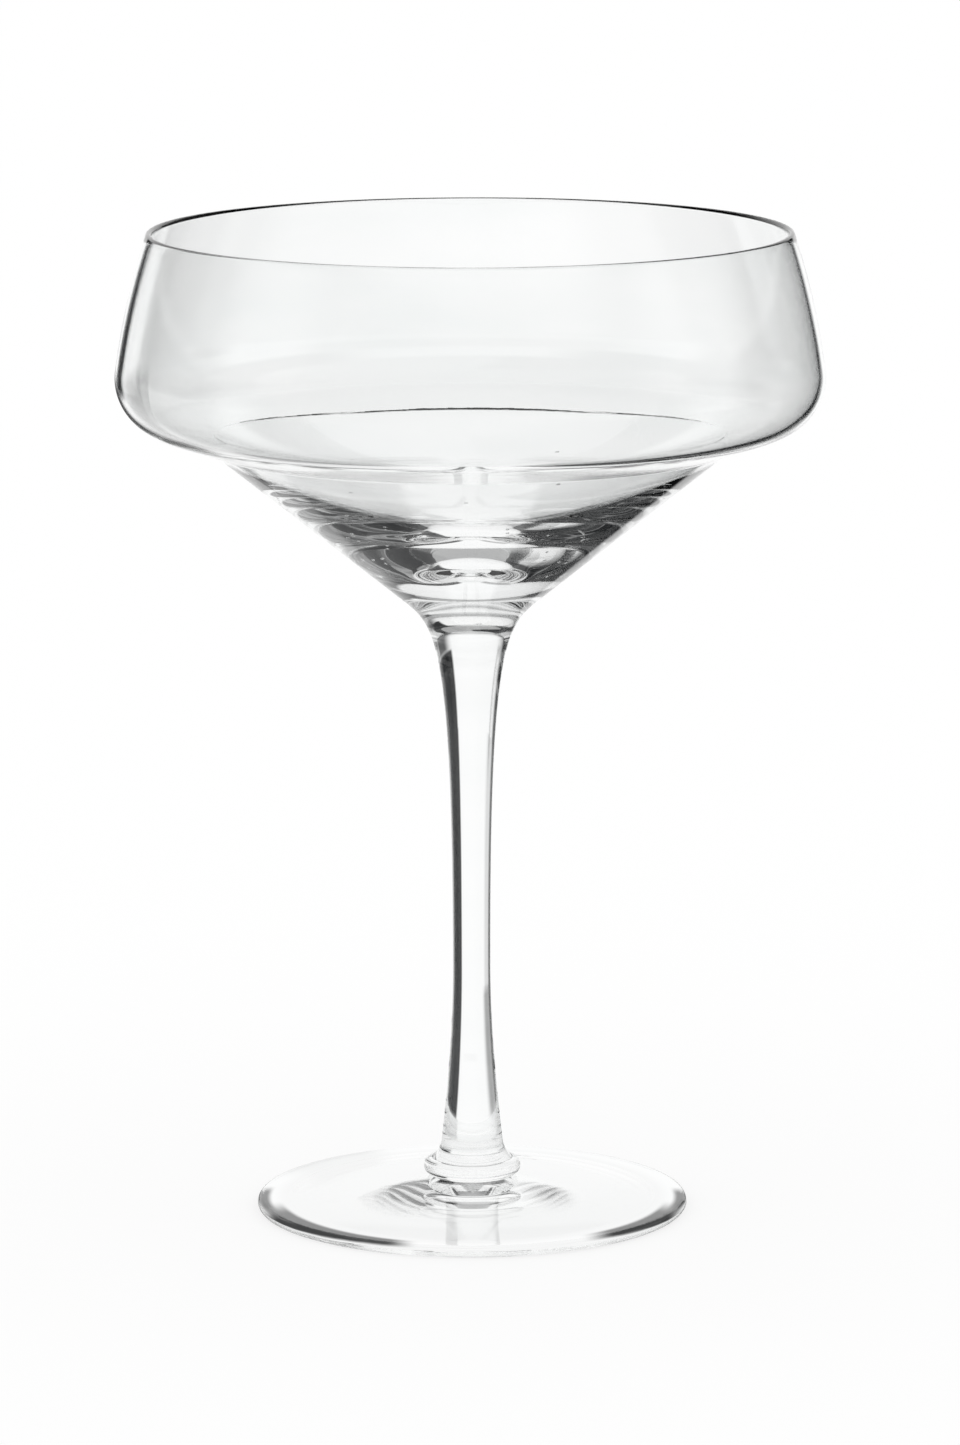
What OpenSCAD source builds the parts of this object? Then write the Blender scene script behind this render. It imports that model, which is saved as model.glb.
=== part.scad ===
// A stemmed cocktail glass of clear, colourless glass, hand made and fused hot.
// The bowl leans in to a thin rim above a round shoulder, and turns down at a crease into a cone.
// Every piece is a body of revolution about Z. The glass stands on Z = 0, and sizes are in millimetres.

/* [Overall] */
// Height from the table to the top of the lip
glass_h = 168; // [155:1:182]
// Thickness of the blown wall, from the lip to the crease
wall_t = 1.15; // [0.8:0.05:1.8]

/* [Bowl] */
// Outer diameter at the lip
rim_d = 109; // [100:0.5:116]
// Outer diameter at the widest ring, in the shoulder
bowl_d = 119.7; // [117:0.1:126]
// Height from the widest ring up to the lip
shoulder_drop = 24.4; // [20:0.1:34]
// Outer radius of the shoulder's bend
shoulder_r = 9.5; // [6:0.1:12]
// Radius of the wall's slight bow, between the shoulder and the lip
wall_bow_r = 132; // [90:1:260]
// Width of the straight ledge, from the shoulder's bend in to the crease
ledge_w = 10.05; // [8:0.05:11]
// Slope of that ledge, from the horizontal
ledge_slope = 18.8; // [12:0.1:22]
// Rounding of the crease, outside
crease_out_r = 1.4; // [0.4:0.1:3]
// Rounding of the crease, inside
crease_in_r = 1.8; // [0.6:0.1:3.5]
// Slope of the cone below the crease, from the horizontal
cone_slope = 38.7; // [34:0.1:44]
// Diameter at which the cavity leaves the cone and curves in to its floor
floor_d = 82.6; // [76:0.2:84]
// Solid glass from the floor's middle down to the joint with the stem
base_t = 11.63; // [10:0.01:13]

/* [Stem] */
// Diameter at which the cone turns into the neck
neck_d = 23.4; // [20:0.1:26]
// Height from there down to the joint between the bowl and the stem
neck_h = 5.05; // [4:0.05:6.5]
// Diameter at that joint
joint_d = 14.7; // [12:0.1:17]
// Slope of the glass at that joint, from the horizontal
joint_slope = 64.5; // [55:0.5:75]
// Diameter at the narrowest place
waist_d = 6.4; // [5:0.1:9]
// Height of the narrowest place above the table
waist_h = 42.5; // [34:0.5:52]
// Diameter at the heel, where the stem begins to spread over the collar
heel_d = 10.6; // [9.6:0.1:12]
// Height of the heel above the collar's top
heel_h = 2.9; // [2:0.1:4]

/* [Collar] */
// Diameter of the pressed bead of glass between the stem and the foot
collar_d = 16.6; // [15.6:0.1:20]
// Height of that bead, which is also the diameter of its round edge
collar_h = 3; // [2:0.1:3.6]

/* [Foot] */
// Diameter of the foot
foot_d = 73.6; // [64:0.2:84]
// Thickness of the foot's fire-polished edge
foot_edge_t = 2; // [1.4:0.1:2.6]
// Height of the seat on which the collar stands
seat_h = 5.6; // [4.6:0.1:7.5]
// Inner diameter of the flat ring on which the glass stands
hollow_d = 63; // [50:0.5:63]
// Depth of the hollow under the middle of the foot
hollow_h = 2.4; // [0.6:0.1:3]

/* [Hidden] */
$fn = 128;
glass_colour = [0.86, 0.92, 0.94, 0.45];
// Degrees between the points of an arc, and pieces in a free curve
arc_step = 3;
curve_steps = 24;

// How far the floor's curve keeps to the cone's slope, and to the level at its middle, as shares of its radius
floor_pull_shares = [0.0945, 0.422];
// The two pulls of the neck's curve, along the cone and at the joint, as shares of the neck's height
neck_pull_shares = [0.434, 0.548];
// How far the stem's upper curve keeps to the slope at the joint, as a share of the joint's diameter
joint_pull_share = 0.44;
// How far the same curve keeps upright above the waist, as a share of the height from there to the joint
waist_pull_share = 0.676;
// Where the stem's lower curve leaves the waist, as a share of the height from the heel to the waist
waist_leave_share = 0.16;
// Where the same curve comes into the heel, as shares of that height and of the waist's diameter
heel_enter_shares = [0.5, 0.54];
// The spread below the heel: how far along the heel's radius and height its two pulls lie
heel_spread_shares = [[0.1, 0.55], [0.55, 0.26]];
// The two pulls of the foot's upper side, as shares of its run and its fall from the seat
foot_pull_shares = [[0.25, 0.42], [0.63, 0.86]];

// Construction of the bowl, on points of [radius, height]
half_wall = wall_t / 2;
lip_c = [rim_d / 2 - half_wall, glass_h - half_wall];
shoulder_c = [bowl_d / 2 - shoulder_r, glass_h - shoulder_drop];
bow_c = meet(lip_c, wall_bow_r - half_wall, shoulder_c, wall_bow_r - shoulder_r);
lip_a = heading(bow_c, lip_c);
shoulder_a = heading(bow_c, shoulder_c);
ledge_a = ledge_slope - 90;
ledge_out = shoulder_c + shoulder_r * unit(ledge_a);
crease_out = ledge_out - ledge_w * unit(ledge_slope);
crease_in = crease_out + wall_t * (unit(ledge_a + 180) + unit(cone_slope + 90))
    / (1 + cos(cone_slope - ledge_slope));
ledge_in = shoulder_c + (shoulder_r - wall_t) * unit(ledge_a);
neck = crease_out - (crease_out.x - neck_d / 2) / cos(cone_slope) * unit(cone_slope);

// The neck's curve, from the cone to the joint, and the stem's upper curve, from the joint to the waist
joint = [joint_d / 2, neck.y - neck_h];
waist = [waist_d / 2, waist_h];
neck_curve = [
    neck,
    neck - neck_h * neck_pull_shares[0] * unit(cone_slope),
    joint + neck_h * neck_pull_shares[1] * unit(joint_slope),
    joint
];
upper_curve = [
    joint,
    joint - joint_d * joint_pull_share * unit(joint_slope),
    waist + [0, (joint.y - waist.y) * waist_pull_share],
    waist
];

// The cavity's floor, from the cone's inside in to its middle
floor_edge = crease_in - (crease_in.x - floor_d / 2) / cos(cone_slope) * unit(cone_slope);
floor_low = [0, joint.y + base_t];
floor_curve = [
    floor_edge,
    floor_edge - floor_edge.x * floor_pull_shares[0] * unit(cone_slope),
    floor_low + [floor_edge.x * floor_pull_shares[1], 0],
    floor_low
];

// The stem's lower curves, the collar and the foot
collar_edge_r = collar_h / 2;
collar_flat_r = collar_d / 2 - collar_edge_r;
collar_top = seat_h + collar_h;
heel = [heel_d / 2, collar_top + heel_h];
stem_end = [collar_flat_r, collar_top];
lower_run = waist_h - heel.y;
lower_curve = [
    waist,
    waist - [0, lower_run * waist_leave_share],
    [waist_d * heel_enter_shares[1], heel.y + lower_run * heel_enter_shares[0]],
    heel
];
heel_curve = [heel, for (s = heel_spread_shares) between(heel, stem_end, s, true), stem_end];
foot_edge_r = foot_edge_t / 2;
foot_edge_c = [foot_d / 2 - foot_edge_r, foot_edge_r];
seat = [collar_flat_r, seat_h];
foot_top_edge = foot_edge_c + [0, foot_edge_r];
foot_curve = [seat, for (s = foot_pull_shares) between(seat, foot_top_edge, s, false), foot_top_edge];
hollow_half = hollow_d / 2;
hollow_r = (hollow_half ^ 2 + hollow_h ^ 2) / (2 * hollow_h);
hollow_a = asin(hollow_half / hollow_r);

// A step of length 1 in a direction
function unit(a) = [cos(a), sin(a)];

// The direction from one point to another
function heading(from, to) = atan2(to.y - from.y, to.x - from.x);

// The place that lies r1 from p1 and r2 from p2, on the axis's side of them
function meet(p1, r1, p2, r2) =
    let (d = norm(p2 - p1), u = (p2 - p1) / d, along = (r1 ^ 2 - r2 ^ 2 + d ^ 2) / (2 * d))
    p1 + along * u + sqrt(r1 ^ 2 - along ^ 2) * [u.y, -u.x];

// A pull for a curve from a to b: shares of the run and of the fall, with the fall counted from b if low
function between(a, b, share, low) =
    [a.x + (b.x - a.x) * share[0], low ? b.y + (a.y - b.y) * share[1] : a.y + (b.y - a.y) * share[1]];

// Points of an arc from one direction to another
function arc(c, r, from, to) =
    let (n = max(2, ceil(abs(to - from) / arc_step)))
    [for (i = [0 : n]) c + r * unit(from + (to - from) * i / n)];

// One point of a cubic curve, and all its points
function on_curve(p, t) =
    (1 - t) ^ 3 * p[0] + 3 * (1 - t) ^ 2 * t * p[1] + 3 * (1 - t) * t ^ 2 * p[2] + t ^ 3 * p[3];
function curve(p, n) = [for (i = [0 : n]) on_curve(p, i / n)];

// The rounding of the corner p1 between p0 and p2
function rounding(p0, p1, p2, r) =
    let (
        a0 = heading(p1, p0),
        a2 = heading(p1, p2),
        turn = (a2 - a0 + 540) % 360 - 180,
        c = p1 + r / sin(abs(turn) / 2) * unit(a0 + turn / 2),
        side = sign(turn) * 90
    )
    arc(c, r, a0 - side, a0 - side - sign(turn) * (180 - abs(turn)));

// The same points, in the other order
function backwards(p) = [for (i = [len(p) - 1 : -1 : 0]) p[i]];

// Blown bowl with its solid base, down to the joint with the stem
module bowl() {
    outside = concat(
        backwards(curve(neck_curve, curve_steps / 2)),
        backwards(rounding(ledge_out, crease_out, neck, crease_out_r)),
        arc(shoulder_c, shoulder_r, ledge_a, shoulder_a),
        arc(bow_c, wall_bow_r, shoulder_a, lip_a)
    );
    lip = arc(lip_c, half_wall, lip_a, lip_a + 180);
    inside = concat(
        arc(bow_c, wall_bow_r - wall_t, lip_a, shoulder_a),
        arc(shoulder_c, shoulder_r - wall_t, shoulder_a, ledge_a),
        rounding(ledge_in, crease_in, floor_edge, crease_in_r),
        curve(floor_curve, curve_steps)
    );
    color(glass_colour)
        rotate_extrude()
            polygon(concat([[0, joint.y]], outside, lip, inside));
}

// Drawn stem, from the joint under the bowl down to its spread end on the collar
module stem() {
    color(glass_colour)
        rotate_extrude()
            polygon(concat(
                [[0, joint.y]],
                curve(upper_curve, 2 * curve_steps),
                curve(lower_curve, curve_steps),
                curve(heel_curve, curve_steps / 2),
                [[0, collar_top]]
            ));
}

// Pressed bead of glass that the stem stands on
module collar() {
    edge_c = [collar_flat_r, seat_h + collar_edge_r];
    color(glass_colour)
        rotate_extrude()
            polygon(concat(
                [[0, collar_top]],
                arc(edge_c, collar_edge_r, 90, -90),
                [[0, seat_h]]
            ));
}

// Foot: a low cone with a round edge, hollowed underneath so that it stands on a flat ring
module foot() {
    hollow_c = [0, hollow_h - hollow_r];
    color(glass_colour)
        rotate_extrude()
            polygon(concat(
                [[0, seat_h]],
                curve(foot_curve, curve_steps),
                arc(foot_edge_c, foot_edge_r, 90, -90),
                arc(hollow_c, hollow_r, 90 - hollow_a, 90)
            ));
}

bowl();
stem();
collar();
foot();
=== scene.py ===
import math

import bpy
from bpy.props import BoolProperty, FloatProperty, FloatVectorProperty, IntProperty, PointerProperty
from mathutils import Matrix, Vector


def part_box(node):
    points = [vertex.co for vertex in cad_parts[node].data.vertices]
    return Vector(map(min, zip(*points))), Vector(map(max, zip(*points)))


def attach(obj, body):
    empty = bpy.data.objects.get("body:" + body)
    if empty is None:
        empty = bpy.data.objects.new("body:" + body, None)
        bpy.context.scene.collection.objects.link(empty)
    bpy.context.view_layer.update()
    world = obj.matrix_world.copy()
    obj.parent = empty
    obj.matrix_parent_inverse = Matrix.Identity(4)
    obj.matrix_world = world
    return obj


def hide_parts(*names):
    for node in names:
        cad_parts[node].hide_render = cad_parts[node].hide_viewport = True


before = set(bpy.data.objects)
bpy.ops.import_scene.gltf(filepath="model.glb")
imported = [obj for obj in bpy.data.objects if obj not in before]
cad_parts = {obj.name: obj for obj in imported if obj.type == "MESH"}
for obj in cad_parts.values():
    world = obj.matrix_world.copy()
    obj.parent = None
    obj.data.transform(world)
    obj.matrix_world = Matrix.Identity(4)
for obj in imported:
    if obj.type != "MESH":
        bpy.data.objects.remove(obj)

bl_info = {
    "name": "Stemmed cocktail glass",
    "version": (1, 0, 0),
    "blender": (4, 5, 0),
    "location": "View3D > Sidebar > Glass",
    "description": "Clear, hand-made cocktail glass in four fused pieces, with its table, light and camera",
    "category": "Add Mesh",
}

MM = 0.001
BOWL_LOW, BOWL_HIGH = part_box("bowl")
COLLAR_LOW, COLLAR_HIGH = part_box("collar")
FOOT_LOW, FOOT_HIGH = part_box("foot")


def length(name, description, default):
    return FloatProperty(name=name, description=description, default=default, precision=5, subtype="DISTANCE")


def slope(name, description, degrees):
    return FloatProperty(name=name, description=description, default=math.radians(degrees), subtype="ANGLE")


def share(name, description, default):
    return FloatProperty(name=name, description=description, default=default, min=0, max=1, subtype="FACTOR")


class BowlSizes(bpy.types.PropertyGroup):
    """Sizes of the blown bowl"""

    rim_d: length("Rim", "Outer diameter at the lip", 109 * MM)
    wall_t: length("Wall", "Thickness of the blown wall", 1.15 * MM)
    shoulder_drop: length("Shoulder drop", "Height from the widest ring up to the lip", 24.4 * MM)
    shoulder_r: length("Shoulder", "Outer radius of the shoulder's bend", 9.5 * MM)
    wall_bow_r: length("Bow", "Radius of the wall's slight bow above the shoulder", 132 * MM)
    ledge_w: length("Ledge", "Width of the straight ledge in to the crease", 10.05 * MM)
    ledge_slope: slope("Ledge slope", "Slope of the ledge from the horizontal", 18.8)
    crease_out_r: length("Crease outside", "Rounding of the crease, outside", 1.4 * MM)
    crease_in_r: length("Crease inside", "Rounding of the crease, inside", 1.8 * MM)
    cone_slope: slope("Cone slope", "Slope of the cone from the horizontal", 38.7)
    floor_d: length("Floor", "Diameter at which the cavity leaves the cone for its floor's curve", 82.6 * MM)
    base_t: length("Base", "Solid glass from the floor's middle down to the joint", 11.63 * MM)
    neck_d: length("Neck", "Diameter at which the cone turns into the neck", 23.4 * MM)
    ripple: length("Ripple", "Depth of the unevenness that blowing left in the cone", 0.004 * MM)
    seeds: IntProperty(name="Seeds", description="Tiny bubbles of air in the cone's wall", default=11, min=0)


class StemSizes(bpy.types.PropertyGroup):
    """Sizes of the drawn stem"""

    joint_d: length("Joint", "Diameter at the joint with the bowl", 14.7 * MM)
    joint_slope: slope("Joint slope", "Slope of the glass at that joint, from the horizontal", 64.5)
    waist_d: length("Waist", "Diameter at the narrowest place", 6.4 * MM)
    waist_h: length("Waist height", "Height of the narrowest place", 42.5 * MM)
    heel_d: length("Heel", "Diameter at which the stem begins to spread", 10.6 * MM)
    heel_h: length("Heel height", "Height of the heel above the collar", 2.9 * MM)


class FootSizes(bpy.types.PropertyGroup):
    """Sizes of the foot"""

    edge_t: length("Edge", "Thickness of the fire-polished edge", 2 * MM)
    hollow_d: length("Hollow", "Inner diameter of the ring on which the glass stands", 63 * MM)
    hollow_h: length("Hollow depth", "Depth of the hollow under the foot", 2.4 * MM)
    ripple: length("Ripple", "Depth of the unevenness of the foot's edge", 0.05 * MM)


class GlassFinish(bpy.types.PropertyGroup):
    """Colour and gloss of the glass"""

    clear: FloatVectorProperty(
        name="Clear", description="Colour of the clearest glass", default=(0.985, 0.99, 0.988), subtype="COLOR")
    deep: FloatVectorProperty(
        name="Deep", description="Colour of the faint cords in the glass", default=(0.955, 0.967, 0.965),
        subtype="COLOR")
    ior: FloatProperty(
        name="Refraction", description="Index of refraction of the glass", default=1.51, min=1, max=2)
    polish: FloatProperty(
        name="Polish", description="Roughness where the polish is worn most", default=0.003, min=0)


class StageSettings(bpy.types.PropertyGroup):
    """Table, light and camera"""

    white: FloatVectorProperty(
        name="White", description="Colour of the table and of the background", default=(1, 1, 1),
        subtype="COLOR")
    # This dark colour also makes the painted shadow round and under the foot on the table
    black: FloatVectorProperty(
        name="Cards", description="Colour of the dark cards beside the glass", default=(0.012, 0.013, 0.014),
        subtype="COLOR")
    shade: share("Shade", "How much of the table's white is left to lamps, so that it holds a shadow", 0.2)
    tent: BoolProperty(
        name="Tent", description="Stand the tent with its dark cards round the glass", default=True)
    tent_r: length("Tent radius", "Distance of the tent's wall from the glass", 0.9)
    tent_h: length("Tent height", "Height of the tent's top", 1.2)
    flag_r: length("Flags", "Distance of the small slatted flags from the glass", 0.12)
    slat_w: length("Slats", "Width of a flag's slats", 14 * MM)
    slat_gap: length("Slat gap", "Distance between a flag's slats", 4.2 * MM)
    slats_face: FloatProperty(
        name="Slats face", description="Azimuth along which the slats lie, in degrees", default=-45)


# Plane figures on points of (radius, height)

def unit(a):
    return Vector((math.cos(a), math.sin(a)))


def heading(start, end):
    return math.atan2(end.y - start.y, end.x - start.x)


def meet(p1, r1, p2, r2):
    """The place that lies r1 from p1 and r2 from p2, on the axis's side of them."""
    gap = (p2 - p1).length
    u = (p2 - p1) / gap
    along = (r1 ** 2 - r2 ** 2 + gap ** 2) / (2 * gap)
    return p1 + along * u + math.sqrt(r1 ** 2 - along ** 2) * Vector((u.y, -u.x))


def arc(c, r, start, end, step=2.0):
    n = max(4, math.ceil(abs(math.degrees(end - start)) / step))
    return [c + r * unit(start + (end - start) * i / n) for i in range(n + 1)]


def curve(p, n):
    return [(1 - t) ** 3 * p[0] + 3 * (1 - t) ** 2 * t * p[1] + 3 * (1 - t) * t ** 2 * p[2] + t ** 3 * p[3]
            for t in (i / n for i in range(n + 1))]


def run(a, b, n):
    """Points inside a straight run, without its ends."""
    return [a.lerp(b, i / n) for i in range(1, n)]


def rounding(p0, p1, p2, r):
    """The rounding of the corner p1 between p0 and p2."""
    a0, a2 = heading(p1, p0), heading(p1, p2)
    turn = (a2 - a0 + 3 * math.pi) % (2 * math.pi) - math.pi
    c = p1 + r / math.sin(abs(turn) / 2) * unit(a0 + turn / 2)
    side = math.copysign(math.pi / 2, turn)
    return arc(c, r, a0 - side, a0 - side - math.copysign(math.pi - abs(turn), turn), 2.0)


def pull(a, b, shares, low):
    """A pull for a curve from a to b: shares of the run and of the fall, counted from b if low."""
    return Vector((a.x + (b.x - a.x) * shares[0], b.y + (a.y - b.y) * shares[1] if low
                   else a.y + (b.y - a.y) * shares[1]))


# Height from the joint up to where the cone begins
NECK_H = 5.05 * MM
# How far the floor's curve keeps to the cone's slope, and to the level at its middle, as shares of its radius
FLOOR_PULLS = (0.0945, 0.422)
# The two pulls of the neck's curve, along the cone and at the joint, as shares of the neck's height
NECK_PULLS = (0.434, 0.548)
# How far the stem's upper curve keeps to the slope at the joint, as a share of the joint's diameter, and
# upright above the waist, as a share of the height between them
JOINT_PULL, WAIST_PULL = 0.44, 0.676
# Where the stem's lower curve leaves the waist, as a share of the height from the heel to the waist, and
# where it comes into the heel, as shares of that height and of the waist's diameter
WAIST_LEAVE, HEEL_ENTER = 0.16, (0.5, 0.54)
# The pulls of the spread below the heel, and of the foot's upper side, as shares of their run and their fall
HEEL_PULLS = ((0.1, 0.55), (0.55, 0.26))
FOOT_PULLS = ((0.25, 0.42), (0.63, 0.86))
# Corners along the curves and the straight runs
NECK_CORNERS, CONE_CORNERS, LEDGE_CORNERS, CONE_TOP_CORNERS, FLOOR_CORNERS = 24, 28, 8, 4, 72
UPPER_CORNERS, LOWER_CORNERS, SPREAD_CORNERS, FOOT_CORNERS = 96, 40, 16, 48
# Degrees between the corners of the arcs
BOW_STEP, LIP_STEP, BEAD_STEP, EDGE_STEP, HOLLOW_STEP = 0.5, 10, 5, 7.5, 0.25
# Corners round the axis
BOWL_ROUND, STEM_ROUND, COLLAR_ROUND, FOOT_ROUND = 256, 160, 160, 320
# Size and depth of the rings in a surface, then size and depth of its waves
SURFACES = {
    "bowl": (0.9 * MM, 0.0008 * MM, 14 * MM, 0.012 * MM),
    "stem": (0.8 * MM, 0.003 * MM, 9 * MM, 0.02 * MM),
    "collar": (1.2 * MM, 0.004 * MM, 4 * MM, 0.04 * MM),
    "foot": (2.5 * MM, 0.0008 * MM, 12 * MM, 0.04 * MM),
}
# How far above the joint the cone's unevenness begins, how wide the foot's is, and the grain of each
CONE_START, EDGE_BAND = 4 * MM, 4 * MM
CONE_CLOUDS, EDGE_CLOUDS = 9 * MM, 3 * MM


def bowl_profile(s, stem):
    """From the joint's middle over the outside, the lip and the inside to the floor's middle."""
    half_wall = s.wall_t / 2
    joint = Vector((stem.joint_d / 2, BOWL_LOW.z))
    lip_c = Vector((s.rim_d / 2 - half_wall, BOWL_HIGH.z - half_wall))
    shoulder_c = Vector((BOWL_HIGH.x - s.shoulder_r, BOWL_HIGH.z - s.shoulder_drop))
    bow_c = meet(lip_c, s.wall_bow_r - half_wall, shoulder_c, s.wall_bow_r - s.shoulder_r)
    lip_a, shoulder_a = heading(bow_c, lip_c), heading(bow_c, shoulder_c)
    ledge_a = s.ledge_slope - math.pi / 2
    ledge_out = shoulder_c + s.shoulder_r * unit(ledge_a)
    crease_out = ledge_out - s.ledge_w * unit(s.ledge_slope)
    crease_in = crease_out + s.wall_t * (unit(ledge_a + math.pi) + unit(s.cone_slope + math.pi / 2)) / (
        1 + math.cos(s.cone_slope - s.ledge_slope))
    ledge_in = shoulder_c + (s.shoulder_r - s.wall_t) * unit(ledge_a)
    neck = crease_out - (crease_out.x - s.neck_d / 2) / math.cos(s.cone_slope) * unit(s.cone_slope)
    neck_h = neck.y - joint.y
    neck_curve = curve([neck, neck - neck_h * NECK_PULLS[0] * unit(s.cone_slope),
                        joint + neck_h * NECK_PULLS[1] * unit(stem.joint_slope), joint], NECK_CORNERS)
    floor_edge = crease_in - (crease_in.x - s.floor_d / 2) / math.cos(s.cone_slope) * unit(s.cone_slope)
    floor = Vector((0, joint.y + s.base_t))
    floor_curve = curve([floor_edge, floor_edge - floor_edge.x * FLOOR_PULLS[0] * unit(s.cone_slope),
                         floor + Vector((floor_edge.x * FLOOR_PULLS[1], 0)), floor], FLOOR_CORNERS)
    crease_round = rounding(ledge_out, crease_out, neck, s.crease_out_r)
    inner_round = rounding(ledge_in, crease_in, floor_edge, s.crease_in_r)
    outside = (neck_curve[::-1]
               + run(neck, crease_round[-1], CONE_CORNERS)
               + crease_round[::-1]
               + run(crease_round[0], ledge_out, LEDGE_CORNERS)
               + arc(shoulder_c, s.shoulder_r, ledge_a, shoulder_a)
               + arc(bow_c, s.wall_bow_r, shoulder_a, lip_a, BOW_STEP)[1:])
    lip = arc(lip_c, half_wall, lip_a, lip_a + math.pi, LIP_STEP)[1:]
    inside = (arc(bow_c, s.wall_bow_r - s.wall_t, lip_a, shoulder_a, BOW_STEP)[1:]
              + arc(shoulder_c, s.shoulder_r - s.wall_t, shoulder_a, ledge_a)[1:]
              + run(ledge_in, inner_round[0], LEDGE_CORNERS)
              + inner_round
              + run(inner_round[-1], floor_edge, CONE_TOP_CORNERS)
              + floor_curve)
    return [Vector((0, joint.y))] + outside + lip + inside


def stem_profile(s):
    """From the joint's middle down the outside to the middle of the collar's top."""
    joint = Vector((s.joint_d / 2, BOWL_LOW.z))
    waist = Vector((s.waist_d / 2, s.waist_h))
    heel = Vector((s.heel_d / 2, COLLAR_HIGH.z + s.heel_h))
    end = Vector((COLLAR_HIGH.x - (COLLAR_HIGH.z - COLLAR_LOW.z) / 2, COLLAR_HIGH.z))
    drop = waist.y - heel.y
    upper = curve([joint, joint - s.joint_d * JOINT_PULL * unit(s.joint_slope),
                   waist + Vector((0, (joint.y - waist.y) * WAIST_PULL)), waist], UPPER_CORNERS)
    lower = curve([waist, waist - Vector((0, drop * WAIST_LEAVE)),
                   Vector((s.waist_d * HEEL_ENTER[1], heel.y + drop * HEEL_ENTER[0])), heel], LOWER_CORNERS)
    spread = curve([heel, *(pull(heel, end, shares, True) for shares in HEEL_PULLS), end], SPREAD_CORNERS)
    return [Vector((0, joint.y))] + upper + lower[1:] + spread[1:] + [Vector((0, end.y))]


def collar_profile():
    """From the middle of its top round the bead to the middle of its seat."""
    r = (COLLAR_HIGH.z - COLLAR_LOW.z) / 2
    c = Vector((COLLAR_HIGH.x - r, COLLAR_LOW.z + r))
    bead = arc(c, r, math.pi / 2, -math.pi / 2, BEAD_STEP)
    return [Vector((0, COLLAR_HIGH.z))] + bead + [Vector((0, COLLAR_LOW.z))]


def foot_profile(s):
    """From the seat's middle over the top and the edge to the middle of the hollow."""
    edge_r = s.edge_t / 2
    edge_c = Vector((FOOT_HIGH.x - edge_r, edge_r))
    seat = Vector((COLLAR_HIGH.x - (COLLAR_HIGH.z - COLLAR_LOW.z) / 2, FOOT_HIGH.z))
    rim = edge_c + Vector((0, edge_r))
    top = curve([seat, *(pull(seat, rim, shares, False) for shares in FOOT_PULLS), rim], FOOT_CORNERS)
    edge = arc(edge_c, edge_r, math.pi / 2, -math.pi / 2, EDGE_STEP)[1:]
    half = s.hollow_d / 2
    hollow_r = (half ** 2 + s.hollow_h ** 2) / (2 * s.hollow_h)
    hollow_a = math.asin(half / hollow_r)
    hollow_c = Vector((0, s.hollow_h - hollow_r))
    hollow = arc(hollow_c, hollow_r, math.pi / 2 - hollow_a, math.pi / 2, HOLLOW_STEP)
    return [Vector((0, seat.y))] + top + edge + hollow


# Modelling

def alone():
    if bpy.context.object and bpy.context.object.mode != "OBJECT":
        bpy.ops.object.mode_set(mode="OBJECT")
    bpy.ops.object.select_all(action="DESELECT")


def turned(name, profile, steps):
    """One corner is extruded along the profile, and the line that it leaves is spun round Z."""
    alone()
    start = Vector((profile[0].x, 0, profile[0].y))
    bpy.ops.mesh.primitive_plane_add(size=MM, location=start)
    piece = bpy.context.object
    piece.name = piece.data.name = name
    bpy.ops.object.mode_set(mode="EDIT")
    bpy.ops.mesh.select_all(action="SELECT")
    bpy.ops.mesh.merge(type="CENTER")
    for here, there in zip(profile, profile[1:]):
        bpy.ops.mesh.extrude_region_move(
            TRANSFORM_OT_translate={"value": (there.x - here.x, 0, there.y - here.y)})
    bpy.ops.mesh.select_all(action="SELECT")
    bpy.ops.mesh.spin(steps=steps, angle=2 * math.pi, center=(0, 0, 0), axis=(0, 0, 1))
    bpy.ops.mesh.select_all(action="SELECT")
    bpy.ops.mesh.remove_doubles(threshold=0.002 * MM)
    bpy.ops.mesh.normals_make_consistent(inside=False)
    bpy.ops.object.mode_set(mode="OBJECT")
    bpy.ops.object.transform_apply(location=True, rotation=True, scale=True)
    bpy.ops.object.shade_smooth_by_angle(angle=math.radians(40))
    return piece


def fuse(piece, *heights):
    """Gives the faces where a piece is fused to its neighbour the second material, which bends no light."""
    for face in piece.data.polygons:
        corners = [piece.data.vertices[i].co.z for i in face.vertices]
        face.material_index = any(all(abs(z - h) < 0.01 * MM for z in corners) for h in heights)


def uneven(piece, depth, size, where):
    """Presses the shallow unevenness of hand-made glass into the corners that where(corner) weighs."""
    alone()
    bpy.context.view_layer.objects.active = piece
    piece.select_set(True)
    group = piece.vertex_groups.new(name="uneven")
    for v in piece.data.vertices:
        weight = where(v.co)
        if weight > 0:
            group.add([v.index], min(weight, 1), "REPLACE")
    clouds = bpy.data.textures.new(piece.name + "_clouds", "CLOUDS")
    clouds.noise_scale = size
    clouds.noise_depth = 1
    press = piece.modifiers.new("uneven", "DISPLACE")
    press.texture = clouds
    press.texture_coords = "LOCAL"
    press.strength = depth
    press.mid_level = 0.5
    press.vertex_group = group.name
    bpy.ops.object.modifier_apply(modifier=press.name)
    piece.vertex_groups.clear()
    bpy.data.textures.remove(clouds)


def copies(model, places):
    """Copies of an object at those places and of those sizes, without the model itself."""
    made = []
    for where, size in places:
        alone()
        model.select_set(True)
        bpy.context.view_layer.objects.active = model
        bpy.ops.object.duplicate()
        copy = bpy.context.object
        copy.location, copy.scale = where, size
        bpy.ops.object.transform_apply(location=True, rotation=True, scale=True)
        made.append(copy)
    alone()
    model.select_set(True)
    bpy.ops.object.delete()
    return made


def join(piece, others):
    alone()
    for other in others:
        other.select_set(True)
    piece.select_set(True)
    bpy.context.view_layer.objects.active = piece
    bpy.ops.object.join()


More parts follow.
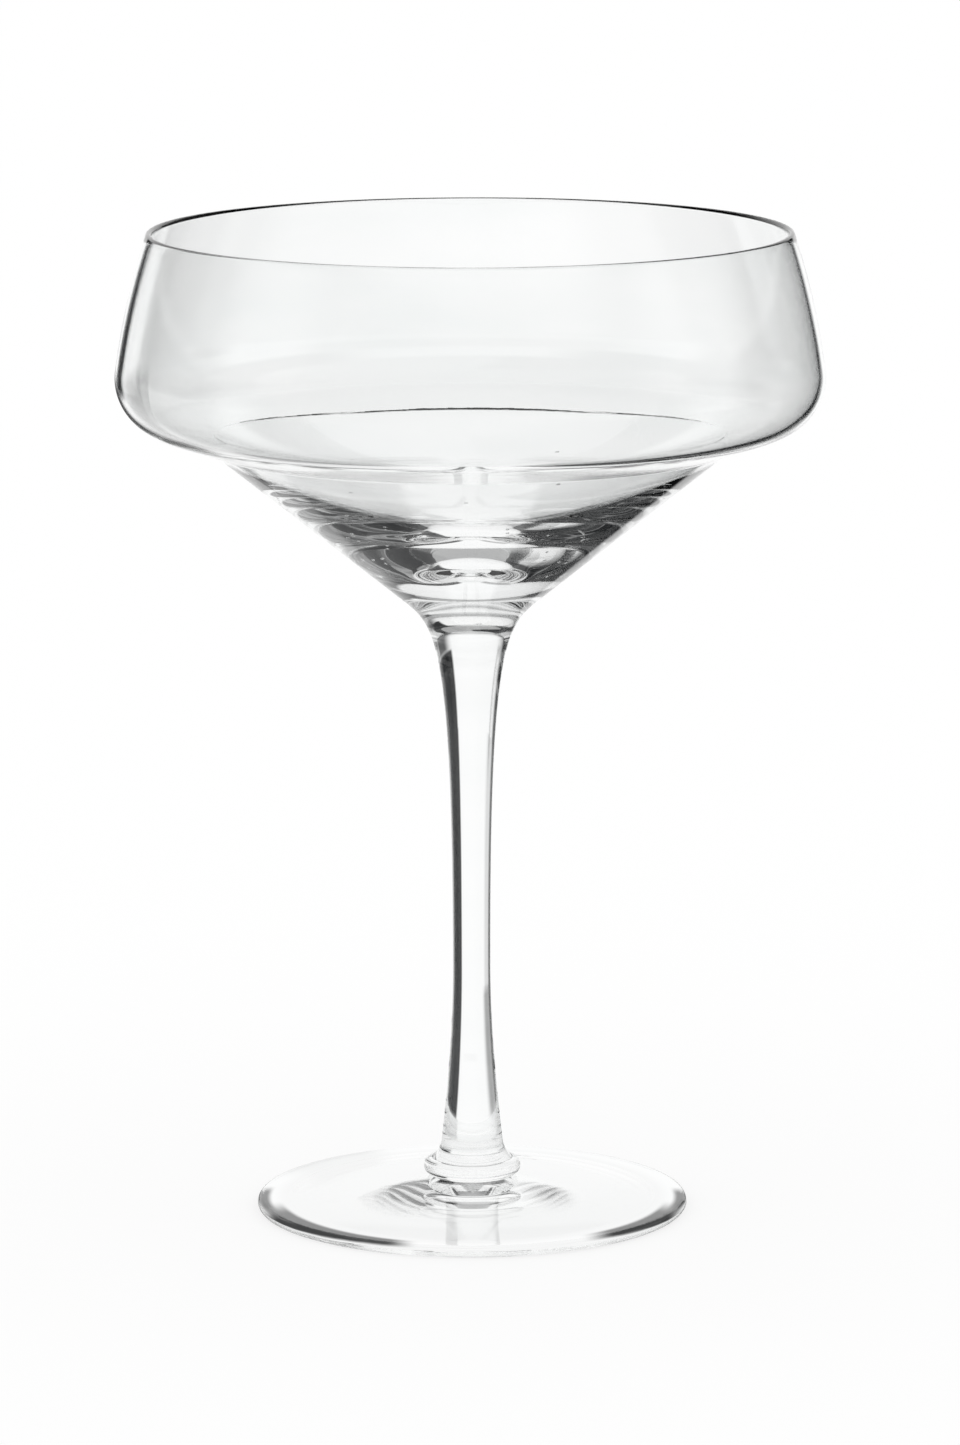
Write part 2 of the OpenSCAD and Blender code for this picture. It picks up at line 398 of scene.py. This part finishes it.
def seeded(piece, spots):
    """Joins round bubbles of air to a piece, at those places and of those radii, with their faces turned in."""
    alone()
    bpy.ops.mesh.primitive_uv_sphere_add(segments=20, ring_count=12, radius=1, location=(0, 0, 0))
    bubble = bpy.context.object
    bpy.ops.object.mode_set(mode="EDIT")
    bpy.ops.mesh.select_all(action="SELECT")
    bpy.ops.mesh.flip_normals()
    bpy.ops.object.mode_set(mode="OBJECT")
    bpy.ops.object.shade_smooth()
    join(piece, copies(bubble, [(where, (r, r, r)) for where, r in spots]))


# Direction of the first bubble and the turn from each to the next, in degrees
SEED_START, SEED_TURN = 40, 137.5
# How far the outermost bubble stays inside the edge of the floor
SEED_MARGIN = 5 * MM
# How deep bubbles lie over the cone's outside, how much deeper at the neck, and over what width that fades
SEED_DEPTH, SEED_DEEPER, SEED_FADE = 0.9 * MM, 3 * MM, 10 * MM
# Radius of the smallest bubbles, and the step between their five sizes
SEED_R, SEED_R_STEP = 0.26, 0.03


def seed_spots(s):
    """Places in the cone's glass, a golden angle apart from each other, and the radii of the bubbles there."""
    first, last = s.neck_d / 2, s.floor_d / 2 - SEED_MARGIN
    spots = []
    for i in range(s.seeds):
        r = first + (last - first) * (i + 0.5) / s.seeds
        a = math.radians(SEED_START + SEED_TURN * i)
        outside = BOWL_LOW.z + NECK_H + (r - first) * math.tan(s.cone_slope)
        depth = SEED_DEPTH + SEED_DEEPER * max(0, 1 - (r - first) / SEED_FADE)
        size = (SEED_R + SEED_R_STEP * (3 * i % 5)) * MM
        spots.append(((r * math.cos(a), r * math.sin(a), outside + depth), size))
    return spots


def place(piece, node, finish):
    """Gives a piece its two materials, and puts it in place of that node."""
    piece.data.materials.append(glass(node + "_glass", finish, *SURFACES[node]))
    piece.data.materials.append(fused_glass())
    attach(piece, "root")
    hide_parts(node)
    node + "_glass"


# Materials

class Level:
    """A number on a shader's socket. Sums written on it add the Math nodes."""

    def __init__(self, finish, socket):
        self.finish = finish
        self.socket = socket

    def maths(self, operation, *values):
        made = self.finish.node("ShaderNodeMath", {"operation": operation}, values)
        return Level(self.finish, made.outputs[0])

    def __add__(self, other):
        return self.maths("ADD", self, other)

    __radd__ = __add__

    def __sub__(self, other):
        return self.maths("SUBTRACT", self, other)

    def __rsub__(self, other):
        return self.maths("SUBTRACT", other, self)

    def __mul__(self, other):
        return self.maths("MULTIPLY", self, other)

    __rmul__ = __mul__


class Finish:
    """The node tree of a material or of the world, emptied to be built up."""

    def __init__(self, owner):
        owner.use_nodes = True
        self.tree = owner.node_tree
        self.tree.nodes.clear()

    def node(self, kind, settings=None, sockets=()):
        """A node of that type. Its settings come first, and then its sockets, by name or in order."""
        made = self.tree.nodes.new(kind)
        for name, value in (settings or {}).items():
            if name == "stops":
                made.color_ramp.elements[0].position, made.color_ramp.elements[0].color = value[0]
                made.color_ramp.elements[-1].position, made.color_ramp.elements[-1].color = value[-1]
                for position, colour in value[1:-1]:
                    made.color_ramp.elements.new(position).color = colour
            else:
                setattr(made, name, value)
        for key, value in (sockets.items() if isinstance(sockets, dict) else enumerate(sockets)):
            if isinstance(value, Level):
                value = value.socket
            if isinstance(value, bpy.types.NodeSocket):
                self.tree.links.new(value, made.inputs[key])
            else:
                made.inputs[key].default_value = value
        return made

    def noise(self, place, size, detail=2.0):
        """Noise of that grain size, a number round one half."""
        made = self.node("ShaderNodeTexNoise", {"noise_dimensions": "3D"},
                         {"Vector": place, "Scale": 1 / size, "Detail": detail})
        return Level(self, made.outputs[0])

    def edge(self, value, place, soft, low, high):
        """Goes from low to high at that place of value, over twice that softness."""
        made = self.node("ShaderNodeMapRange", {"interpolation_type": "SMOOTHSTEP"},
                         {0: value, 1: place - soft, 2: place + soft, 3: low, 4: high})
        return Level(self, made.outputs[0])

    def squeezed(self, place, scale):
        return self.node("ShaderNodeMapping", {"vector_type": "POINT"},
                         {"Vector": place, "Scale": scale}).outputs[0]

    def level(self, socket):
        return Level(self, socket)


def colour(c):
    return (*c, 1.0)


def glass(name, finish, rings, rings_depth, waves, waves_depth):
    """Clear glass: faint rings that turning left, soft waves from the fire, and a polish worn in places."""
    made = bpy.data.materials.new(name)
    f = Finish(made)
    here = f.node("ShaderNodeTexCoord").outputs["Object"]
    ring = f.noise(f.squeezed(here, (0.12, 0.12, 1.0)), rings, 3.0)
    wave = f.noise(here, waves, 1.0)
    lie = ring * rings_depth + wave * waves_depth
    bump = f.node("ShaderNodeBump", {}, {"Strength": 1.0, "Distance": 1.0, "Height": lie})
    stops = [(0.35, colour(finish.clear)), (0.75, colour(finish.deep))]
    cords = f.node("ShaderNodeValToRGB", {"stops": stops},
                   {0: f.noise(f.squeezed(here, (0.3, 0.3, 1.0)), 9 * MM)})
    wear = f.noise(here, 5 * MM, 4.0) * f.noise(here, 28 * MM) * (4 * finish.polish) - finish.polish
    worn = f.node("ShaderNodeMath", {"operation": "MAXIMUM"}, {0: wear, 1: 0.0})
    body = f.node("ShaderNodeBsdfPrincipled", {}, {
        "Base Color": cords.outputs[0], "Roughness": worn.outputs[0], "Metallic": 0.0, "IOR": finish.ior,
        "Transmission Weight": 1.0, "Specular IOR Level": 0.5, "Normal": bump.outputs[0]})
    through = f.node("ShaderNodeBsdfTransparent", {}, {"Color": (0.93, 0.94, 0.94, 1)})
    path = f.node("ShaderNodeLightPath")
    both = f.node("ShaderNodeMixShader", {},
                  (path.outputs["Is Shadow Ray"], body.outputs[0], through.outputs[0]))
    f.node("ShaderNodeOutputMaterial", {}, {"Surface": both.outputs[0]})
    return made


def fused_glass():
    """The inside of a fused joint, where one glass goes on into the other."""
    made = bpy.data.materials.get("fused_joint") or bpy.data.materials.new("fused_joint")
    f = Finish(made)
    clear = f.node("ShaderNodeBsdfTransparent", {}, {"Color": (1, 1, 1, 1)})
    f.node("ShaderNodeOutputMaterial", {}, {"Surface": clear.outputs[0]})
    return made


# Operators

class MESH_OT_glass_bowl(bpy.types.Operator):
    """Turn the blown bowl, with its uneven cone and the tiny bubbles in its wall"""

    bl_idname = "mesh.glass_bowl"
    bl_label = "Bowl"

    def execute(self, context):
        scene = context.scene
        s, stem = scene.glass_bowl, scene.glass_stem
        piece = turned("bowl_blown", bowl_profile(s, stem), BOWL_ROUND)
        crease_z = BOWL_HIGH.z - s.shoulder_drop - s.shoulder_r
        low = BOWL_LOW.z + CONE_START

        def in_cone(corner):
            rise = (corner.z - low) / (crease_z - low)
            return 4 * rise * (1 - rise) if 0 < rise < 1 else 0

        uneven(piece, s.ripple, CONE_CLOUDS, in_cone)
        seeded(piece, seed_spots(s))
        place(piece, "bowl", scene.glass_finish)
        fuse(piece, BOWL_LOW.z)
        return {"FINISHED"}


class MESH_OT_glass_stem(bpy.types.Operator):
    """Turn the drawn stem"""

    bl_idname = "mesh.glass_stem"
    bl_label = "Stem"

    def execute(self, context):
        scene = context.scene
        piece = turned("stem_drawn", stem_profile(scene.glass_stem), STEM_ROUND)
        place(piece, "stem", scene.glass_finish)
        fuse(piece, BOWL_LOW.z, COLLAR_HIGH.z)
        return {"FINISHED"}


class MESH_OT_glass_collar(bpy.types.Operator):
    """Turn the pressed bead between the stem and the foot"""

    bl_idname = "mesh.glass_collar"
    bl_label = "Collar"

    def execute(self, context):
        scene = context.scene
        piece = turned("collar_bead", collar_profile(), COLLAR_ROUND)
        place(piece, "collar", scene.glass_finish)
        fuse(piece, COLLAR_HIGH.z, COLLAR_LOW.z)
        return {"FINISHED"}


class MESH_OT_glass_foot(bpy.types.Operator):
    """Turn the foot, with its hollow underneath and its fire-polished edge"""

    bl_idname = "mesh.glass_foot"
    bl_label = "Foot"

    def execute(self, context):
        scene = context.scene
        s = scene.glass_foot
        piece = turned("foot_pressed", foot_profile(s), FOOT_ROUND)
        inner = FOOT_HIGH.x - EDGE_BAND

        def near_edge(corner):
            out = (math.hypot(corner.x, corner.y) - inner) / EDGE_BAND
            return min(1, out) if out > 0 and corner.z > 0.1 * MM else 0

        uneven(piece, s.ripple, EDGE_CLOUDS, near_edge)
        place(piece, "foot", scene.glass_finish)
        fuse(piece, FOOT_HIGH.z)
        return {"FINISHED"}


class MESH_OT_glass_stage(bpy.types.Operator):
    """Lay the pale table with a painted shadow round the foot that only the glass shows, stand the dark cards
    round the glass, and set the light and the camera
    """

    bl_idname = "mesh.glass_stage"
    bl_label = "Stage"

    def execute(self, context):
        scene = context.scene
        s = scene.glass_stage
        self.lay_table(s)
        if s.tent:
            self.pitch_tent(s)
        self.light(scene, s)
        self.aim(scene)
        return {"FINISHED"}

    def lay_table(self, s):
        alone()
        bpy.ops.mesh.primitive_plane_add(size=12, location=(0, 0, 0))
        table = bpy.context.object
        table.name = "table"
        made = bpy.data.materials.new("table_white")
        f = Finish(made)
        path = f.node("ShaderNodeLightPath")
        camera = f.level(path.outputs["Is Camera Ray"])
        bent = f.level(path.outputs["Is Glossy Ray"]) + f.level(path.outputs["Is Transmission Ray"])
        cloth = f.node("ShaderNodeBsdfDiffuse", {}, {"Color": colour(s.white)})
        plain = f.node("ShaderNodeEmission", {}, {"Color": colour(s.white), "Strength": 1.0})
        both = f.node("ShaderNodeMixShader", {},
                      (camera * (1 - s.shade), cloth.outputs[0], plain.outputs[0]))
        # For light that the glass reflects or bends, the table shows the dark cards and a painted contact
        # shadow round and under the foot, instead of its real shadow
        carded = self.carded(f, TABLE_CARDS_AND_FOOT_SHADOW, "R", s)
        all_rays = f.node("ShaderNodeMixShader", {}, (bent, both.outputs[0], carded.outputs[0]))
        f.node("ShaderNodeOutputMaterial", {}, {"Surface": all_rays.outputs[0]})
        table.data.materials.append(made)

    def pitch_tent(self, s):
        """White cloth with dark cards round the glass, seen only by light that the glass reflects or bends."""
        alone()
        bpy.ops.mesh.primitive_cylinder_add(
            vertices=TENT_ROUND, radius=s.tent_r, depth=s.tent_h, end_fill_type="NOTHING",
            location=(0, 0, s.tent_h / 2))
        self.hang("tent_wall", lambda f: self.carded(f, WALL_CARDS, "Z", s))
        bpy.ops.mesh.primitive_circle_add(
            vertices=TENT_ROUND, radius=s.tent_r, fill_type="NGON", location=(0, 0, s.tent_h))
        self.hang("tent_top", lambda f: self.carded(f, TOP_CARDS, "R", s))
        for name, azimuth, width, low, high, card in FLAGS:
            self.add_slats(s, azimuth, width, low, high)
            self.hang(name, lambda f: self.cut_out(f, card, s))

    def add_slats(self, s, azimuth, width, low, high):
        """Upright slats side by side: light passes along them, and is held back aslant."""
        middle, facing = math.radians(azimuth), math.radians(s.slats_face)
        gaps = math.ceil(width / s.slat_gap)
        places = []
        for i in range(gaps + 1):
            aside = (i / gaps - 0.5) * width
            places.append(((s.flag_r * math.sin(middle) + aside * math.cos(middle),
                            s.flag_r * math.cos(middle) - aside * math.sin(middle), (low + high) / 2),
                           (s.slat_w, high - low, 1)))
        alone()
        bpy.ops.mesh.primitive_plane_add(size=1, rotation=(math.pi / 2, 0, math.pi / 2 - facing))
        first, *others = copies(bpy.context.object, places)
        join(first, others)

    def hang(self, name, dye):
        """Finishes the sheet of the tent that was just added."""
        sheet = bpy.context.object
        sheet.name = name
        bpy.ops.object.transform_apply(location=True, rotation=True, scale=True)
        made = bpy.data.materials.new(name)
        f = Finish(made)
        f.node("ShaderNodeOutputMaterial", {}, {"Surface": dye(f).outputs[0]})
        made.cycles.emission_sampling = "NONE"
        sheet.data.materials.append(made)
        sheet.visible_camera = sheet.visible_diffuse = False
        sheet.visible_shadow = sheet.visible_volume_scatter = False

    def cover(self, f, card, reach):
        """How far one card covers a place, by its azimuth, and by its height or its radius."""
        apart = f.node("ShaderNodeSeparateXYZ", {}, {0: f.node("ShaderNodeTexCoord").outputs["Object"]})
        x, y, z = (f.level(socket) for socket in apart.outputs)
        azimuth = x.maths("ARCTAN2", x, y) * (180 / math.pi)
        out = z if reach == "Z" else x.maths("SQRT", x * x + y * y)
        start, start_soft, end, end_soft, low, high, soft, dark = card
        covered = (f.edge(azimuth, start, start_soft, 0.0, dark)
                   * f.edge(azimuth, end, end_soft, 1.0, 0.0))
        if low is not None:
            covered = covered * f.edge(out, low, soft, 0.0, 1.0)
        if high is not None:
            covered = covered * f.edge(out, high, soft, 1.0, 0.0)
        return covered

    def glow(self, f, shown, s):
        """Light that is white where shown is 1, and black where it is 0."""
        mixed = f.node("ShaderNodeMix", {"data_type": "RGBA"},
                       {0: shown, 6: colour(s.black), 7: colour(s.white)})
        return f.node("ShaderNodeEmission", {}, {"Color": mixed.outputs[2], "Strength": 1.0})

    def carded(self, f, cards, reach, s):
        """White light with dark cards in it; on the table the darkest rings near the foot are painted shadow.
        """
        shown = 1 - self.cover(f, cards[0], reach)
        for card in cards[1:]:
            shown = shown * (1 - self.cover(f, card, reach))
        return self.glow(f, shown, s)

    def cut_out(self, f, card, s):
        """A dark flag with soft edges, and nothing round it."""
        clear = f.node("ShaderNodeBsdfTransparent", {}, {"Color": (1, 1, 1, 1)})
        return f.node("ShaderNodeMixShader", {}, (self.cover(f, card, "Z"), clear.outputs[0],
                                                  self.glow(f, 0.0, s).outputs[0]))

    def light(self, scene, s):
        world = bpy.data.worlds.new("white_room")
        scene.world = world
        f = Finish(world)
        room = f.node("ShaderNodeBackground", {}, {"Color": colour(s.white), "Strength": 1.0})
        f.node("ShaderNodeOutputWorld", {}, {"Surface": room.outputs[0]})
        scene.view_settings.view_transform = "Standard"
        scene.cycles.max_bounces = scene.cycles.transmission_bounces = BENT_BOUNCES
        scene.cycles.glossy_bounces = scene.cycles.transparent_max_bounces = OTHER_BOUNCES
        scene.cycles.caustics_reflective = scene.cycles.caustics_refractive = False

    def aim(self, scene):
        data = bpy.data.cameras.new("camera")
        camera = bpy.data.objects.new("camera", data)
        scene.collection.objects.link(camera)
        data.lens = CAMERA_LENS
        data.clip_start, data.clip_end = 0.05, 50
        camera.matrix_world = (Matrix.Translation(CAMERA_PLACE)
                               @ Matrix.Rotation(math.pi / 2 - CAMERA_DOWN, 4, "X")
                               @ Matrix.Rotation(CAMERA_ROLL, 4, "Z"))
        scene.camera = camera


# The camera: its place in metres, how far it looks down and leans in radians, and its lens in millimetres
CAMERA_PLACE, CAMERA_DOWN, CAMERA_ROLL, CAMERA_LENS = (0.0015, -1.186, 0.29786), 0.17823, -0.002, 176.8
# Turns that light may take in the glass, and on or through other surfaces
BENT_BOUNCES, OTHER_BOUNCES = 32, 24
# Corners round the tent
TENT_ROUND = 240
# Cards on the tent and on the table. The table's last rings, round and under the foot, are not cards but a
# painted shadow that only the glass shows.
# Azimuths are in degrees from the back, positive to the right: where a card starts and how soft that edge is,
# and the same for its end.
# Then from and to which height or radius in metres, or None, how soft those edges are, and how dark the card
# is.
WALL_CARDS = (
    (23, 2, 86, 9, None, 0.26, 0.02, 1),
    (28, 8, 56, 4, 0.26, None, 0.03, 0.9),
    (56, 4, 78, 12, 0.26, None, 0.03, 0.8),
    (-92, 9, -50, 7, None, 0.12, 0.02, 0.95),
    (-92, 9, -48, 8, 0.12, 0.24, 0.02, 0.97),
    (-92, 9, -45, 14, 0.24, None, 0.03, 0.95),
    (-150, 40, -90, 9, None, None, 0.1, 0.15),
    (120, 10, 240, 1, 0.25, 0.6, 0.08, 0.4),
    (-240, 1, -125, 10, 0.25, 0.6, 0.08, 0.4),
    (-140, 15, -30, 15, 0.6, None, 0.08, 1),
    (20, 15, 130, 20, 0.6, None, 0.08, 1),
    (-30, 15, 20, 15, 0.6, None, 0.08, 0.4),
)
TABLE_CARDS_AND_FOOT_SHADOW = (
    (22.5, 2, 66, 8, 0.04, None, 0.004, 1),
    (66, 8, 92, 14, 0.04, None, 0.004, 0.8),
    (92, 14, 150, 30, 0.06, None, 0.004, 0.3),
    (-95, 8, -52, 5, 0.04, None, 0.004, 0.9),
    (-52, 5, -32, 5, 0.04, None, 0.004, 0.25),
    (-130, 14, -95, 8, 0.06, None, 0.004, 0.4),
    (-62, 10, -28, 6, 0.038, 0.15, 0.01, 0.5),
    # Painted contact shadow from here on: dark rings on the table under and just outside the foot's rim, and a
    # thin one at its front, seen only through the glass
    (-108, 8, -82, 4, 0.0347, 0.06, 0.0006, 0.95),
    (-160, 5, -104, 8, 0.0328, 0.06, 0.0006, 0.95),
    (84, 4, 108, 8, 0.0347, 0.06, 0.0006, 0.95),
    (104, 8, 142, 6, 0.0331, 0.06, 0.0006, 0.95),
    (168, 2, 240, 1, 0.0358, 0.042, 0.0005, 0.95),
    (-240, 1, -172, 2, 0.0358, 0.042, 0.0005, 0.95),
    # Painted shade under the whole foot, faint, seen only through the glass
    (-240, 1, 240, 1, None, 0.033, 0.002, 0.08),
)
TOP_CARDS = (
    (-240, 1, 240, 1, None, None, 0.1, 0.6),
    (-165, 10, -80, 15, None, None, 0.1, 1),
)
# Small flags close to the glass: name, azimuth of the middle, width, lowest and highest height, and the card
# that says where the flag is dark
FLAGS = (
    ("flag_shoulder", -39.5, 0.034, 0.05, 0.14, (-45, 1.5, -34.5, 1.5, 0.063, 0.13, 0.006, 0.7)),
    ("flag_left_edge", -50.5, 0.03, 0.11, 0.19, (-55, 1.5, -46, 1.5, 0.124, 0.175, 0.006, 0.95)),
)


class VIEW3D_PT_glass(bpy.types.Panel):
    """Lists the pieces of the glass, its finish and its stage"""

    bl_idname = "VIEW3D_PT_glass"
    bl_label = "Stemmed cocktail glass"
    bl_space_type = "VIEW_3D"
    bl_region_type = "UI"
    bl_category = "Glass"

    def draw(self, context):
        column = self.layout.column()
        for group, operator in GROUPS:
            if group:
                settings = getattr(context.scene, group)
                for name in settings.__annotations__:
                    column.prop(settings, name)
            if operator:
                column.operator(operator.bl_idname)


GROUPS = (("glass_bowl", MESH_OT_glass_bowl), ("glass_stem", MESH_OT_glass_stem),
          ("glass_foot", MESH_OT_glass_foot), (None, MESH_OT_glass_collar), ("glass_finish", None),
          ("glass_stage", MESH_OT_glass_stage))
SETTINGS = {"glass_bowl": BowlSizes, "glass_stem": StemSizes, "glass_foot": FootSizes,
            "glass_finish": GlassFinish, "glass_stage": StageSettings}
CLASSES = (*SETTINGS.values(), MESH_OT_glass_bowl, MESH_OT_glass_stem, MESH_OT_glass_collar,
           MESH_OT_glass_foot, MESH_OT_glass_stage, VIEW3D_PT_glass)


def register():
    for made in CLASSES:
        bpy.utils.register_class(made)
    for name, group in SETTINGS.items():
        setattr(bpy.types.Scene, name, PointerProperty(type=group))


def unregister():
    for name in SETTINGS:
        delattr(bpy.types.Scene, name)
    for made in reversed(CLASSES):
        bpy.utils.unregister_class(made)


def main():
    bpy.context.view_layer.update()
    register()
    bpy.ops.mesh.glass_foot()
    bpy.ops.mesh.glass_collar()
    bpy.ops.mesh.glass_stem()
    bpy.ops.mesh.glass_bowl()
    bpy.ops.mesh.glass_stage()


if __name__ == "__main__":
    main()
